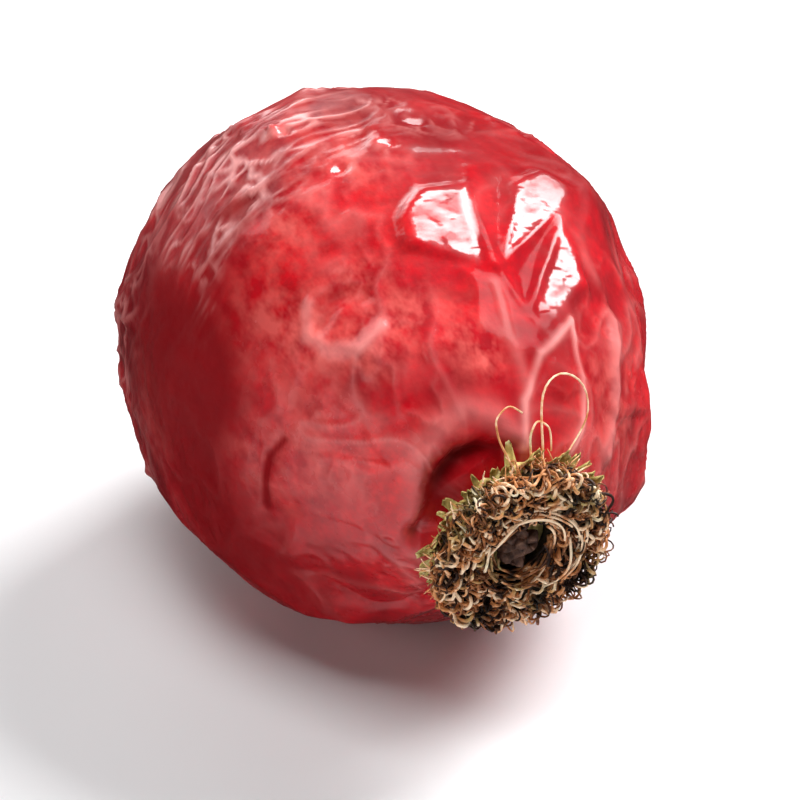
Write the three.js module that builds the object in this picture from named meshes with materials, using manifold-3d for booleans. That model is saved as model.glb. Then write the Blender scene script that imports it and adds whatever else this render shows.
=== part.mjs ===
// A dried rose hip: the whole fruit of a dog rose, picked without its stalk and dried until its skin
// shrank in over the seeds. It lies on its side on a table, on the small spot that its own weight
// pressed flat.
//
// Millimetres, +Z up. The origin is on the table, in the middle of that flat spot. The fruit's long
// axis runs along X, at axisHeight above the table, with the calyx end at +X and the stalk end at -X.
// The pieces are made round the long axis first, and the group at the end lifts them to their height.
// Angles round the fruit are counted from its top towards +Y.
//
// Five pieces: the red fruit wall, the straw-coloured collar with the stumps of five sepals, the brown
// crown of dried stamens, the tuft of styles in its middle, and the torn stub of the stalk.
import * as THREE from "three";
import { mergeVertices } from "three/addons/utils/BufferGeometryUtils.js";
import Module from "manifold-3d";

const wasm = await Module();
wasm.setup();

// ---------------------------------------------------------------------------------------------
// Driving dimensions
// ---------------------------------------------------------------------------------------------
const halfWidth = 7.0; // of the fruit, before its skin shrank
const axisHeight = 6.75; // of the long axis above the table
// Each half of the outline is halfWidth * (1 - |x / reach| ** power) ** root, cut off flat at end.
const stalkHalf = { end: -7.7, reach: 7.85, power: 2.6, root: 0.58 };
const calyxHalf = { end: 8.8, reach: 9.6, power: 1.7, root: 0.55 };
const middle = (calyxHalf.end + stalkHalf.end) / 2;
const halfLength = (calyxHalf.end - stalkHalf.end) / 2;
// The calyx leans, because the wall below it sank: it turned by this many degrees about an axis through
// the pivot. The skin follows from leanStart to the calyx.
const calyxLean = { angle: 9, axis: new THREE.Vector3(0, 0.88, 0.47).normalize(), pivotX: calyxHalf.end };
const leanStart = 4.6;
const gap = 0.1; // between two pieces that sit against each other
const finest = 0.01; // smallest edge or gap in a piece that is fused from several

const skinRows = 58; // of faces, from the stalk to the calyx
const skinSides = 96; // round the fruit

// ---------------------------------------------------------------------------------------------
// Repeatable irregularity
// ---------------------------------------------------------------------------------------------
const fraction = (v) => v - Math.floor(v);
const clamp = (v, low, high) => Math.min(Math.max(v, low), high);
const { degToRad, lerp, smoothstep } = THREE.MathUtils;

// The i-th draw of series k, from 0 to 1, the same on every run.
const draw = (i, k) => fraction(Math.sin(i * 127.1 + k * 311.7) * 43758.5453);

// One value from 0 to 1 for each corner of a grid of cubes.
const corner = (x, y, z, k) => {
  return fraction(Math.sin(x * 127.1 + y * 311.7 + z * 74.7 + k * 53.3) * 43758.5453);
};

// Smooth noise from -1 to 1 whose bumps are about size across.
function noise(p, size, k) {
  const [x, y, z] = [p.x / size, p.y / size, p.z / size];
  const [cx, cy, cz] = [Math.floor(x), Math.floor(y), Math.floor(z)];
  const [ex, ey, ez] = [smoothstep(x - cx, 0, 1), smoothstep(y - cy, 0, 1), smoothstep(z - cz, 0, 1)];
  let sum = 0;
  for (let n = 0; n < 8; n++) {
    const [dx, dy, dz] = [n >> 2, (n >> 1) & 1, n & 1];
    const share = (dx ? ex : 1 - ex) * (dy ? ey : 1 - ey) * (dz ? ez : 1 - ez);
    sum += share * corner(cx + dx, cy + dy, cz + dz, k);
  }
  return sum * 2 - 1;
}

// p pushed sideways by noise, so that what is straight round p comes out wavy.
function bent(p, size, amount, k) {
  const push = new THREE.Vector3(noise(p, size, k), noise(p, size, k + 1), noise(p, size, k + 2));
  return p.clone().addScaledVector(push, amount);
}

// ---------------------------------------------------------------------------------------------
// The outline of the fruit, and places on it
// ---------------------------------------------------------------------------------------------
function outline(x) {
  const { reach, power, root } = x < 0 ? stalkHalf : calyxHalf;
  return halfWidth * Math.max(1 - Math.abs(x / reach) ** power, 0) ** root;
}

// A point at x along the axis, r from it, and turn radians round from the top towards +Y.
const about = (x, r, turn) => new THREE.Vector3(x, r * Math.sin(turn), r * Math.cos(turn));

// The point of the plain outline at x, and angle degrees round.
const place = (x, angle) => about(x, outline(x), degToRad(angle));

// The direction that the skin is moved along at p: straight out of the fruit's egg.
const eggRadii = new THREE.Vector3(halfLength, halfWidth, halfWidth);
const outwardAt = (p) => {
  return new THREE.Vector3(p.x - middle, p.y, p.z).divide(eggRadii).divide(eggRadii).normalize();
};

// 1 at the centre of a zone, falling softly to nothing past its reach.
const zone = (p, centre, reach) => Math.exp(-p.distanceToSquared(centre) / reach ** 2);

// ---------------------------------------------------------------------------------------------
// The shrunken skin: shallow bowls that meet in sharp ridges
// ---------------------------------------------------------------------------------------------
// count points over the fruit in a spiral, each knocked out of line by jitter steps.
function scatter(count, jitter, k) {
  const goldenTurn = Math.PI * (3 - Math.sqrt(5));
  const step = 2 / Math.sqrt(count);
  const points = [];
  for (let i = 0; i < count; i++) {
    const even = 1 - (2 * (i + 0.5)) / count;
    const along = clamp(even + jitter * step * (draw(i, k) - 0.5), -0.99, 0.99);
    const across = Math.sqrt(1 - along ** 2);
    const turn = i * goldenTurn + (1.75 * jitter * step * (draw(i, k + 1) - 0.5)) / across;
    points.push(about(middle + halfLength * along, halfWidth * across, turn));
  }
  return points;
}

// Bowls round the given points: rise is the squared distance to the nearest point, less its weight, so
// it makes a bowl round each point and a ridge between two. slope is the height of the nearest bowls'
// leans. A low stretch draws the bowls out along X, and crisp and blend sharpen what lies between two.
function bowls(p, seeds, { stretch, crisp, blend }) {
  const offsets = seeds.map(({ point }) => p.clone().sub(point));
  const away = offsets.map((v, n) => (v.x * stretch) ** 2 + v.y ** 2 + v.z ** 2 - seeds[n].weight);
  const least = Math.min(...away);
  let [near, share, slope] = [0, 0, 0];
  seeds.forEach(({ lean }, n) => {
    near += Math.exp(-crisp * (away[n] - least));
    const w = Math.exp(-blend * (away[n] - least));
    share += w;
    slope += w * lean.dot(offsets[n]);
  });
  return { rise: least - Math.log(near) / crisp, slope: slope / share };
}

// A random lean, at most steepest along each axis.
function anyLean(i, k, steepest) {
  const lean = new THREE.Vector3(draw(i, k), draw(i, k + 1), draw(i, k + 2));
  return lean.subScalar(0.5).multiplyScalar(2 * steepest);
}

// Large slumps, where the wall sank in between the seeds inside.
const slumps = scatter(26, 1.9, 5).map((point, i) => ({
  point,
  weight: 3.5 * draw(i, 9),
  lean: new THREE.Vector3(),
}));

// The net of facets over all the rest.
const net = scatter(120, 2.1, 11).map((point, i) => ({
  point,
  weight: draw(i, 67) - 0.3,
  lean: anyLean(i, 71, 0.125),
}));

// Areas where the skin stayed calmer than elsewhere: by what share, and how far that reaches.
const belly = { centre: place(3.0, -62), reach: 6.0, calm: 0.93 }; // the plump side
const shoulder = { centre: place(3.9, 18), reach: 3.5, calm: 0.85 }; // the middle of the glossy facets
const neck = { centre: place(6.5, 20), reach: 3.0, calm: 0.85 }; // between them and the calyx
const calyxTop = { centre: place(6.5, 0), reach: 5.0, calm: 0.9 };
const calyxSide = { centre: place(6.8, -88), reach: 2.2, calm: 0.9 };
const underside = { centre: place(0, 180), reach: 3.4, calm: 0.85 }; // where it bears on the table

// The share of the roughness that is left at p by the calmest of the areas there.
const leftBy = (p, ...areas) => {
  return 1 - Math.max(...areas.map(({ centre, reach, calm }) => calm * zone(p, centre, reach)));
};

// The facets on the shoulder, where the skin went flat. Each is a plane inside a ring of corners, which
// are given as x and angle. It lies depth out from the ring's centre, and faces the way it looks.
const shoulderFacets = [
  {
    corners: [[2.9, -6], [1.9, 2], [1.8, 16], [4.7, 12], [3.8, -7]],
    depth: -0.1,
    looks: [0.329, 0.194, 0.924],
  },
  {
    corners: [[1.8, 16], [0.9, 18], [0.8, 25], [1.6, 28], [4.8, 17], [4.7, 12]],
    depth: -0.24,
    looks: [0.27, 0.46, 0.845],
  },
  {
    corners: [[1.6, 28], [1.0, 36], [1.5, 43], [2.4, 41], [3.6, 29], [4.8, 17]],
    depth: 0,
    looks: [0.352, 0.337, 0.874],
  },
  {
    corners: [[4.8, 17], [3.6, 29], [2.4, 41], [3.0, 39], [4.8, 30], [6.0, 24], [5.5, 20]],
    depth: -0.24,
    looks: [0.436, 0.425, 0.793],
  },
  {
    corners: [[3.0, 39], [3.7, 43], [4.7, 46], [5.4, 38], [6.2, 28], [6.0, 24], [4.8, 30]],
    depth: -0.1,
    looks: [0.45, 0.352, 0.821],
  },
  {
    corners: [[4.7, 12], [4.8, 17], [5.5, 20], [6.0, 24], [6.9, 24], [7.0, 14], [6.2, 5], [4.8, 5]],
    depth: -0.19,
    looks: [0.5, 0.27, 0.823],
  },
].map(({ corners, depth, looks }) => {
  const ring = corners.map(([x, angle]) => place(x, angle));
  const centre = ring.reduce((sum, p) => sum.add(p), new THREE.Vector3()).divideScalar(ring.length);
  const up = outwardAt(centre);
  const sides = ring.map((from, n) => {
    const along = ring[(n + 1) % ring.length].clone().sub(from);
    const inward = up.clone().cross(along).normalize();
    if (centre.clone().sub(from).dot(inward) < 0) inward.negate();
    return { from, inward };
  });
  const onPlane = centre.clone().addScaledVector(up, depth);
  return { centre, up, sides, onPlane, looks: new THREE.Vector3(...looks) };
});
const facetHeights = { lowest: -0.65, highest: 0.4 };
const facetCrisp = 12; // how sharply a facet meets what lies beside it

// The ground's height, with the shoulder's facets cut into it.
function withFacets(p, ground) {
  const wavy = bent(p, 0.9, 0.1, 81);
  const outward = outwardAt(p);
  const levels = shoulderFacets.map(({ centre, up, sides, onPlane, looks }) => {
    const past = Math.max(...sides.map(({ from, inward }) => from.clone().sub(wavy).dot(inward)));
    const farSide = wavy.clone().sub(centre).dot(up) < -3;
    const height = onPlane.clone().sub(p).dot(looks) / Math.max(outward.dot(looks), 0.2);
    return {
      height: clamp(height, facetHeights.lowest, facetHeights.highest),
      away: farSide ? Infinity : past,
    };
  });
  levels.push({ height: ground, away: 0 });
  const least = Math.min(...levels.map(({ away }) => away));
  const shares = levels.map(({ away }) => Math.exp(-facetCrisp * (away - least)));
  const sum = shares.reduce((a, b) => a + b);
  return levels.reduce((total, { height }, n) => total + (height * shares[n]) / sum, 0);
}

// Folds that run through places given as x and angle.
const folds = [
  { // the rolled lip over the hollow beside the calyx
    places: [[8.75, -84], [8.5, -62], [8.15, -44], [7.85, -28], [7.8, -14], [8.15, 0], [8.5, 8]],
    halfWidth: 0.36,
    height: 0.12,
  },
  { // the hollow itself
    places: [[8.8, -82], [8.78, -60], [8.7, -42], [8.6, -26], [8.65, -12], [8.8, 0]],
    halfWidth: 0.36,
    height: -0.75,
  },
  { places: [[4.5, -37], [4.3, -31], [4.5, -25]], halfWidth: 0.34, height: -0.15 }, // a dent
  { // and its rim
    places: [[4.0, -37], [4.6, -42], [5.2, -40], [5.6, -33], [5.5, -25]],
    halfWidth: 0.2,
    height: 0.09,
  },
  { places: [[5.3, 13], [6.5, 14], [7.6, 18], [8.7, 15]], halfWidth: 0.22, height: 0.05 },
  { places: [[4.9, 60], [6.4, 70], [7.8, 79]], halfWidth: 0.3, height: 0.16 },
].map((fold) => ({ ...fold, points: fold.places.map(([x, angle]) => place(x, angle)) }));

function foldHeight(p) {
  const wavy = bent(p, 1.1, 0.12, 85);
  const nearest = new THREE.Vector3();
  return folds.reduce((total, { points, halfWidth, height }) => {
    const distances = points.slice(1).map((to, n) => {
      return new THREE.Line3(points[n], to).closestPointToPoint(wavy, true, nearest).distanceTo(wavy);
    });
    return total + height * Math.exp(-((Math.min(...distances) / halfWidth) ** 2));
  }, 0);
}

// The layers of the relief, from broad to fine: the size of their bumps, and their height or depth.
const swells = { size: 6.5, height: 0.22 };
const slumping = { bend: 5.0, height: 0.03, level: 5.5, onBelly: 0.25 };
const netting = { height: 0.6, bowl: 0.07, level: 1.5, patches: 2.8 };
const calyxPuckers = { depth: 0.3, from: 4.2, to: 7.8, count: 9, start: 0.6, wander: 1.6, size: 2.4, k: 51 };
const stalkPuckers = { depth: 0.45, from: 4.7, to: 8.0, count: 7, start: 0, wander: 1.7, size: 2.0, k: 61 };
const heldAtEnds = { calyx: 0.9, stalk: 0.8 }; // from each end to where the skin is free to shrink

// How deep the puckers are at p, from 0 to 1: count sharp valleys round the fruit.
function puckers(p, { count, start, wander, size, k }) {
  const turn = Math.atan2(p.y, p.z);
  return 1 - Math.sqrt(Math.abs(Math.sin((turn * count) / 2 + wander * noise(p, size, k) + start)));
}

// How far the shrunken skin stands out from the plain outline at p.
function relief(p) {
  let height = swells.height * noise(p, swells.size, 41);

  const rough = leftBy(p, belly);
  const slump = bowls(bent(p, slumping.bend, 1.0, 3), slumps, { stretch: 0.85, crisp: 1.6, blend: 1 });
  height += slumping.height * lerp(slumping.onBelly, 1, rough) * (slump.rise - slumping.level);

  const wavy = bent(bent(p, 3.4, 0.75, 13), 1.3, 0.16, 17);
  const facet = bowls(wavy, net, { stretch: 0.8, crisp: 16, blend: 3 });
  const patchy = clamp(0.75 + 0.9 * noise(p, netting.patches, 91), 0.1, 1.15);
  const netHeight = netting.bowl * (facet.rise - netting.level) + facet.slope;
  height += netting.height * rough * patchy * leftBy(p, shoulder, neck) * netHeight;

  // The skin gathers in puckers towards the calyx and towards the stalk.
  const nearCalyx = smoothstep(p.x, calyxPuckers.from, calyxPuckers.to) * leftBy(p, calyxTop, calyxSide);
  const calyxPatchy = clamp(0.6 + 0.6 * noise(p, 2.5, 57), 0, 1);
  height -= calyxPuckers.depth * nearCalyx * calyxPatchy * puckers(p, calyxPuckers);
  const nearStalk = smoothstep(-p.x, stalkPuckers.from, stalkPuckers.to);
  height -= stalkPuckers.depth * nearStalk * puckers(p, stalkPuckers);

  // Both ends hold the skin in place, and it stays nearly smooth where it bears on the table.
  height = withFacets(p, height);
  height *= smoothstep(calyxHalf.end - p.x, 0, heldAtEnds.calyx);
  height *= smoothstep(p.x - stalkHalf.end, 0, heldAtEnds.stalk);
  height += foldHeight(p) * smoothstep(calyxHalf.end - p.x, -0.45, 0.35);
  return height * leftBy(p, underside);
}

// ---------------------------------------------------------------------------------------------
// Solids
// ---------------------------------------------------------------------------------------------
// A round body about X, from its half section: pairs of x and radius that start and end on the axis.
function turned(section, sides) {
  const points = section.map(([x, r]) => new THREE.Vector2(r, x));
  return new THREE.LatheGeometry(points, sides).rotateZ(-Math.PI / 2);
}

// The same surface with nothing but its corners, each shared by the faces round it.
function welded(geometry) {
  const bare = geometry.clone();
  bare.deleteAttribute("normal");
  bare.deleteAttribute("uv");
  return mergeVertices(bare, 1e-4);
}

// The same surface with every corner moved as move says.
function moved(geometry, move) {
  const surface = welded(geometry);
  const position = surface.getAttribute("position");
  for (let i = 0; i < position.count; i++) {
    const p = move(new THREE.Vector3().fromBufferAttribute(position, i));
    position.setXYZ(i, p.x, p.y, p.z);
  }
  return surface;
}

function solid(geometry) {
  const { attributes, index } = welded(geometry);
  const vertProperties = attributes.position.array;
  const triVerts = new Uint32Array(index.array);
  return new wasm.Manifold(new wasm.Mesh({ numProp: 3, vertProperties, triVerts }));
}

// Where a joined surface meets itself along an edge, the corners there are drawn in, each towards its
// own neighbours, so that the two sheets lie finest apart instead of sharing the edge.
function partSheets(positions, faces) {
  const at = (n) => new THREE.Vector3().fromArray(positions, 3 * n);
  const sharing = new Map();
  for (let n = 0; n < positions.length / 3; n++) {
    const spot = at(n).multiplyScalar(1 / finest).round().toArray().join();
    sharing.set(spot, [...(sharing.get(spot) ?? []), n]);
  }
  for (const n of [...sharing.values()].filter((corners) => corners.length > 1).flat()) {
    const inward = new THREE.Vector3();
    for (let f = 0; f < faces.length; f += 3) {
      const face = [...faces.subarray(f, f + 3)];
      if (face.includes(n)) face.forEach((other) => inward.add(at(other).sub(at(n))));
    }
    at(n).addScaledVector(inward.normalize(), finest).toArray(positions, 3 * n);
  }
}

// One solid out of several that run into each other. Edges shorter than finest are dropped from it, and
// its outermost surface alone is kept, which fills any hollow that the pieces shut in between them.
function fused(geometries) {
  const surfaces = geometries.map(solid).reduce((a, b) => a.add(b)).simplify(finest).decompose();
  const { vertProperties, triVerts } = surfaces.reduce((a, b) => (a.volume() > b.volume() ? a : b)).getMesh();
  partSheets(vertProperties, triVerts);
  const geometry = new THREE.BufferGeometry();
  geometry.setAttribute("position", new THREE.BufferAttribute(vertProperties, 3));
  geometry.setIndex(new THREE.BufferAttribute(triVerts, 1));
  return geometry;
}

// A three-sided fibre along a curve through the given points.
function fibre(points, thickness, steps) {
  const radius = thickness / 2;
  const corners = [90, 210, 330].map(degToRad).map((a) => [radius * Math.cos(a), radius * Math.sin(a)]);
  const section = new THREE.Shape(corners.map(([x, y]) => new THREE.Vector2(x, y)));
  const path = new THREE.CatmullRomCurve3(points);
  return new THREE.ExtrudeGeometry(section, { steps, extrudePath: path, bevelEnabled: false });
}

// The point where p comes to when it leans with the calyx, and a piece that leans with it.
function leaned(p) {
  const pivot = new THREE.Vector3(calyxLean.pivotX, 0, 0);
  return p.clone().sub(pivot).applyAxisAngle(calyxLean.axis, degToRad(calyxLean.angle)).add(pivot);
}
const leaning = (geometry) => moved(geometry, leaned);

// A flat flap with a torn outer edge. It lies across X, its root towards the axis, turned turn radians
// round, and leans back by lean radians away from +X.
function flap({ root, tip, width, thickness, lean }, turn, x) {
  const half = width / 2;
  const outer = tip - root;
  const torn = [
    [-half, 0], [half, 0], [0.9 * half, 0.62 * outer], [0.3 * half, outer],
    [-0.2 * half, 0.78 * outer], [-0.6 * half, 0.94 * outer], [-half, 0.55 * outer],
  ];
  const shape = new THREE.Shape(torn.map(([y, z]) => new THREE.Vector2(y, z)));
  const geometry = new THREE.ExtrudeGeometry(shape, { depth: thickness, bevelEnabled: false });
  geometry.rotateZ(Math.PI / 2).rotateY(Math.PI / 2).rotateY(-lean);
  return geometry.translate(x, 0, root).rotateX(-turn);
}

// ---------------------------------------------------------------------------------------------
// The fruit wall
// ---------------------------------------------------------------------------------------------
function fruitWall() {
  const first = Math.asin(stalkHalf.end / stalkHalf.reach);
  const last = Math.asin(calyxHalf.end / calyxHalf.reach);
  const section = [[stalkHalf.end, 0]];
  for (let row = 0; row <= skinRows; row++) {
    const t = lerp(first, last, row / skinRows);
    const x = (t < 0 ? stalkHalf : calyxHalf).reach * Math.sin(t);
    section.push([x, outline(x)]);
  }
  section.push([calyxHalf.end, 0]);

  return moved(turned(section, skinSides), (p) => {
    const shrunk = p.clone().addScaledVector(outwardAt(p), relief(p));
    shrunk.lerp(leaned(shrunk), smoothstep(shrunk.x, leanStart, calyxHalf.end));
    return shrunk.setZ(Math.max(shrunk.z, -axisHeight));
  });
}

// ---------------------------------------------------------------------------------------------
// The calyx end: collar, stamens and styles
// ---------------------------------------------------------------------------------------------
const collar = { start: calyxHalf.end + gap, thickness: 0.4, radius: 2.35 };
const sepal = { count: 5, root: 1.3, tip: 2.95, width: 1.3, thickness: 0.3, lean: 0.12 };

function sepalCollar() {
  const { start, thickness, radius } = collar;
  const end = start + thickness;
  const section = [[start, 0], [start, radius - 0.15], [start + 0.15, radius], [end, radius - 0.1], [end, 0]];
  const stumps = [];
  for (let i = 0; i < sepal.count; i++) {
    const turn = ((i + 0.4 * (draw(i, 101) - 0.5)) / sepal.count) * 2 * Math.PI;
    const tip = sepal.tip - 0.4 * draw(i, 102);
    stumps.push(flap({ ...sepal, tip }, turn, start + 0.08));
  }
  return leaning(fused([turned(section, 30), ...stumps]));
}

// The stamens' dried feet are matted into a ring round a hollow, and the rest of each curls out of it.
const mat = {
  start: collar.start + collar.thickness + gap,
  height: 0.6,
  inner: 0.95,
  outer: 2.35,
  rows: 8,
  sides: 48,
};
const stamen = { count: 46, thickness: 0.34, steps: 5 };

function stamenCurl(i) {
  const turn = ((i + 0.8 * draw(i, 111)) / stamen.count) * 2 * Math.PI;
  const foot = lerp(mat.inner + 0.3, mat.outer - 0.3, draw(i, 112));
  const tip = lerp(mat.inner + 0.1, mat.outer + 0.45, draw(i, 113));
  const swirl = lerp(-1.1, 1.1, draw(i, 114)) / tip;
  const rise = lerp(0.25, 0.5, draw(i, 115));
  const base = mat.start + mat.height - 0.5;
  const curve = [
    about(base, foot, turn),
    about(base + 0.6 * rise, lerp(foot, tip, 0.2), turn + 0.1 * swirl),
    about(base + 0.35 + 0.75 * rise, lerp(foot, tip, 0.75), turn + 0.55 * swirl),
    about(base + 0.3 + 0.5 * rise, tip, turn + swirl),
  ];
  return fibre(curve, stamen.thickness, stamen.steps);
}

function mattedRing() {
  const { start, height, inner, outer, rows, sides } = mat;
  const section = [];
  for (let row = 0; row <= rows; row++) {
    const a = (Math.PI * row) / rows;
    const r = (outer + inner) / 2 + ((outer - inner) / 2) * Math.cos(a);
    section.push([start + height * Math.sin(a) ** 0.6, r]);
  }
  section.push(section[0]);
  return moved(turned(section, sides), (p) => {
    const share = (p.x - start) / height;
    const spread = 1 + 0.06 * share * noise(p, 0.7, 143);
    const x = start + (p.x - start) * (1 + 0.22 * noise(p, 0.45, 141));
    return p.set(x, p.y * spread, p.z * spread);
  });
}

function stamenCrown() {
  const curls = Array.from({ length: stamen.count }, (_, i) => stamenCurl(i));
  return leaning(fused([mattedRing(), ...curls]));
}

// The styles grow together into a short column that ends in a knob for each, one inside a ring of six.
const styles = { radius: 0.55, height: 0.35, knob: 0.27, ring: 0.42, inRing: 6 };

function styleTuft() {
  const { radius, height, knob, ring, inRing } = styles;
  const top = mat.start + height;
  const column = turned([[mat.start, 0], [mat.start, radius], [top, radius - 0.05], [top, 0]], 18);
  const knobs = [new THREE.IcosahedronGeometry(knob, 1).translate(top + 0.1, 0, 0)];
  for (let i = 0; i < inRing; i++) {
    const at = about(top + 0.1 * (draw(i, 121) - 0.5), ring, (i / inRing) * 2 * Math.PI);
    knobs.push(new THREE.IcosahedronGeometry(knob, 1).translate(at.x, at.y, at.z));
  }
  return leaning(fused([column, ...knobs]));
}

// ---------------------------------------------------------------------------------------------
// The stalk end: a hollow stub that tore off in ragged flaps
// ---------------------------------------------------------------------------------------------
const stub = { start: gap - stalkHalf.end, height: 0.6, radius: 0.85 };
const scrap = { count: 5, root: 0.5, tip: 1.8, width: 0.8, thickness: 0.3, lean: 0.2 };

function stalkStub() {
  const { start, height, radius } = stub;
  const end = start + height;
  const section = [[start, 0], [start, radius], [start + 0.3, radius - 0.1], [end, radius - 0.25]];
  section.push([end - 0.05, radius - 0.45], [start + 0.4, 0]);
  const scraps = [];
  for (let i = 0; i < scrap.count; i++) {
    const turn = ((i + 0.5 * (draw(i, 131) - 0.5)) / scrap.count) * 2 * Math.PI;
    const tip = scrap.tip - 0.5 * draw(i, 132);
    scraps.push(flap({ ...scrap, tip }, turn, start + 0.15));
  }
  return fused([turned(section, 20), ...scraps]).rotateZ(Math.PI);
}

// ---------------------------------------------------------------------------------------------
// The whole hip
// ---------------------------------------------------------------------------------------------
const driedSkin = new THREE.MeshStandardMaterial({ color: 0x9c0d14, roughness: 0.28, metalness: 0 });
const straw = new THREE.MeshStandardMaterial({ color: 0xb89a4e, roughness: 0.8, metalness: 0 });
const driedStamen = new THREE.MeshStandardMaterial({ color: 0x5a4528, roughness: 0.85, metalness: 0 });
const driedStyle = new THREE.MeshStandardMaterial({ color: 0x6b4a35, roughness: 0.85, metalness: 0 });
const driedStalk = new THREE.MeshStandardMaterial({ color: 0xb08a45, roughness: 0.8, metalness: 0 });

function piece(name, geometry, material) {
  const mesh = new THREE.Mesh(geometry, material);
  mesh.name = name;
  return mesh;
}

const hip = new THREE.Group();
hip.position.z = axisHeight;
hip.add(
  piece("fruit_wall", fruitWall(), driedSkin),
  piece("sepal_collar", sepalCollar(), straw),
  piece("stamen_crown", stamenCrown(), driedStamen),
  piece("style_tuft", styleTuft(), driedStyle),
  piece("stalk_stub", stalkStub(), driedStalk),
);

export default hip;
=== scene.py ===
# %% [markdown]
# # A dried rose hip
#
# A rose hip is the fleshy cup of a dog rose, swollen round its seeds. Dried, its skin turns dark and
# glossy and shrinks in over the seeds, into dents, folds and a net of fine creases. One end keeps the
# dried crown of the flower: a papery collar, a mat of curly brown stamens and a tuft of styles. The
# other end has the scar of the stalk.
#
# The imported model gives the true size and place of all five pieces. Each of them is made here again
# with the fineness that a close look asks for, in the same place and to the same form.

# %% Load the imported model
import math

import bmesh
import bpy
import numpy as np
from mathutils import Matrix, Vector


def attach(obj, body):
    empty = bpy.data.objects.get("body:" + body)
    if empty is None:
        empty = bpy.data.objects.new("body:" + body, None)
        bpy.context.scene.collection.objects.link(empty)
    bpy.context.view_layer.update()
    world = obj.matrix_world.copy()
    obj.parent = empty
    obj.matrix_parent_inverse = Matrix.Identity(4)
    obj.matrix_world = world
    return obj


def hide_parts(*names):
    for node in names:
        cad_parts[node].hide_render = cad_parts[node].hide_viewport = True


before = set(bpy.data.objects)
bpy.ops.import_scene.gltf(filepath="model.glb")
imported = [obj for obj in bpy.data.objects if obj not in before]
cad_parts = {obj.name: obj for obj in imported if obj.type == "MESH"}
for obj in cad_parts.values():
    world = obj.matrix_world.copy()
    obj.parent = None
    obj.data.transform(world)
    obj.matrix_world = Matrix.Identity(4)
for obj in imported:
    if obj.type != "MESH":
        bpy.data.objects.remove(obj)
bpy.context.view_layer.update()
print("nodes", sorted(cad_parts))

# %% [markdown]
# ## Measures
#
# The fruit is so small that its pieces are modelled in millimetres round their own long axis, which
# runs along X. When a piece is finished, its mesh is lifted to the height of the axis and brought to
# metres, and its object stays at the origin. The calyx, the flower's end, is at +X.

# %% Measures
MM = 0.001
AXIS_HEIGHT = 6.75
HALF_WIDTH = 7.0
STALK_HALF = {"end": -7.7, "reach": 7.85, "power": 2.6, "root": 0.58}
CALYX_HALF = {"end": 8.8, "reach": 9.6, "power": 1.7, "root": 0.55}
MIDDLE = (CALYX_HALF["end"] + STALK_HALF["end"]) / 2
HALF_LENGTH = (CALYX_HALF["end"] - STALK_HALF["end"]) / 2


def outline(x):
    """The radius of the fruit at x, before its skin shrank."""
    def half(side):
        share = np.abs(x / side["reach"]) ** side["power"]
        return HALF_WIDTH * np.clip(1 - share, 0, 1) ** side["root"]

    return np.where(x < 0, half(STALK_HALF), half(CALYX_HALF))


# The calyx leans a little: it turned away from the long axis as the wall below it sank.
LEAN = math.radians(9)
LEAN_AXIS, LEAN_PIVOT = Vector((0, 0.88, 0.47)), Vector((8.8, 0, 0))
CALYX_LEAN = (Matrix.Translation(LEAN_PIVOT) @ Matrix.Rotation(LEAN, 4, LEAN_AXIS)
              @ Matrix.Translation(-LEAN_PIVOT))


def leaned(p, share):
    """Points moved by a share of the calyx's lean."""
    turn = np.array(CALYX_LEAN)
    return p + share[:, None] * (p @ turn[:3, :3].T + turn[:3, 3] - p)


def about(x, r, turn):
    """Points at x along the axis and r from it, turn radians round from the top towards +Y."""
    x, r, turn = np.broadcast_arrays(x, r, turn)
    return np.stack([x, r * np.sin(turn), r * np.cos(turn)], -1).astype(float)


def place(x, angle):
    """The point of the plain outline at x, and angle degrees round."""
    return about(x, outline(x), np.radians(angle))


print("the fruit is", CALYX_HALF["end"] - STALK_HALF["end"], "mm long and", 2 * HALF_WIDTH, "mm wide")

# %% [markdown]
# ## Camera
#
# The hip is seen from in front of its calyx end, a little from above. The camera stands well back, as
# one does with a macro lens, so the fruit shows almost no perspective.

# %% Camera
CAMERA_TURN, CAMERA_RISE = math.radians(69), math.radians(34)
CAMERA_AWAY = 0.42
HALF_FRAME = 0.0109


def towards(turn, rise):
    """The direction from the object to something that stands turn radians round it, rise radians up."""
    flat = math.cos(rise)
    return Vector((math.sin(turn) * flat, -math.cos(turn) * flat, math.sin(rise)))


def facing(direction):
    """The turn of a camera or a lamp that looks back along direction."""
    return direction.to_track_quat("Z", "Y").to_euler()


def linked(name, data):
    """A new object of that data, in the scene."""
    piece = bpy.data.objects.new(name, data)
    bpy.context.scene.collection.objects.link(piece)
    return piece


camera = linked("camera", bpy.data.cameras.new("camera"))
camera.data.lens = camera.data.sensor_width / 2 * CAMERA_AWAY / HALF_FRAME
camera.data.clip_start = 0.01
aim = Vector((0.0012, 0, AXIS_HEIGHT * MM - 0.0008))
camera.location = aim + towards(CAMERA_TURN, CAMERA_RISE) * CAMERA_AWAY
camera.rotation_euler = facing(towards(CAMERA_TURN, CAMERA_RISE))
bpy.context.scene.camera = camera
print("lens", round(camera.data.lens), "mm")

# %% [markdown]
# ## Node helpers
#
# Each finish is a Principled shader whose colour, roughness and bump come from noise on the object's
# own coordinates, so a pattern stays on the piece whatever looks at it. The helpers below keep each
# finish to a few readable lines.

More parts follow.
